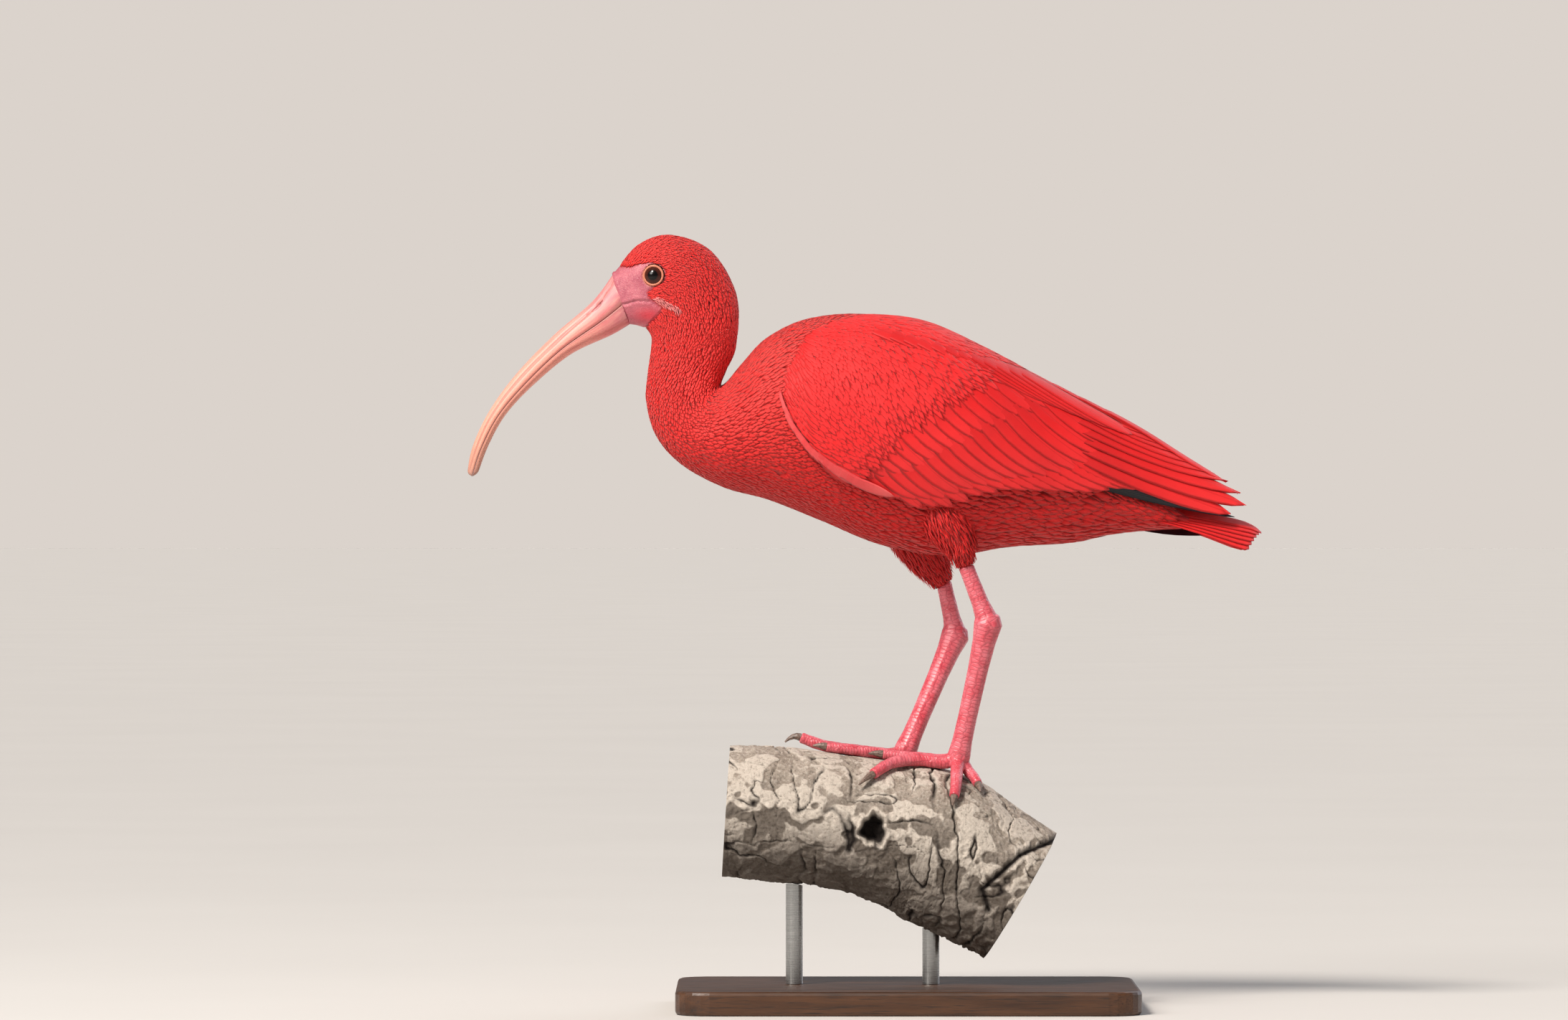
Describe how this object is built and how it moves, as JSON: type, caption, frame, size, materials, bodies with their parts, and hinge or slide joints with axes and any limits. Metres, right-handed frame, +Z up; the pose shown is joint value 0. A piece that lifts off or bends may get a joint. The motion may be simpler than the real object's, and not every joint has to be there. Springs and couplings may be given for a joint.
{
  "type": "scarlet ibis model",
  "caption": "Life-size standing scarlet ibis display model with folded wings and a long down-curved bill, on a cut length of tree limb carried by a flat base with short rods.",
  "frame": {"origin": "middle of the display base's underside, which rests on the floor", "axes": "+Z up, the bird faces -X with its left side to -Y"},
  "size_m": [0.4653, 0.17, 0.4529],
  "materials": {
    "plumage": "matte scarlet feathers",
    "bill": "satin horn",
    "eye": "glossy dark",
    "leg_skin": "satin pink skin",
    "claw": "satin horn",
    "bark": "rough pale bark",
    "wood": "oiled dark wood",
    "steel": "brushed"
  },
  "bodies": {
    "root": {"bill_lower": "bill", "bill_upper": "bill", "claw_left_hind": "claw", "claw_left_inner": "claw", "claw_left_middle": "claw", "claw_left_outer": "claw", "claw_right_hind": "claw", "claw_right_inner": "claw", "claw_right_middle": "claw", "claw_right_outer": "claw", "eye_left": "eye", "eye_right": "eye", "head": "plumage", "neck_lower": "plumage", "neck_upper": "plumage", "perch": "bark", "shank_left": "leg_skin", "shank_right": "leg_skin", "stand_base": "wood", "stand_rod_front": "steel", "stand_rod_rear": "steel", "tail": "plumage", "tarsus_left": "leg_skin", "tarsus_right": "leg_skin", "thigh_left": "plumage", "thigh_right": "plumage", "toe_left_hind": "leg_skin", "toe_left_inner": "leg_skin", "toe_left_middle": "leg_skin", "toe_left_outer": "leg_skin", "toe_right_hind": "leg_skin", "toe_right_inner": "leg_skin", "toe_right_middle": "leg_skin", "toe_right_outer": "leg_skin", "torso": "plumage", "wing_left": "plumage", "wing_right": "plumage"}
  },
  "joints": []
}
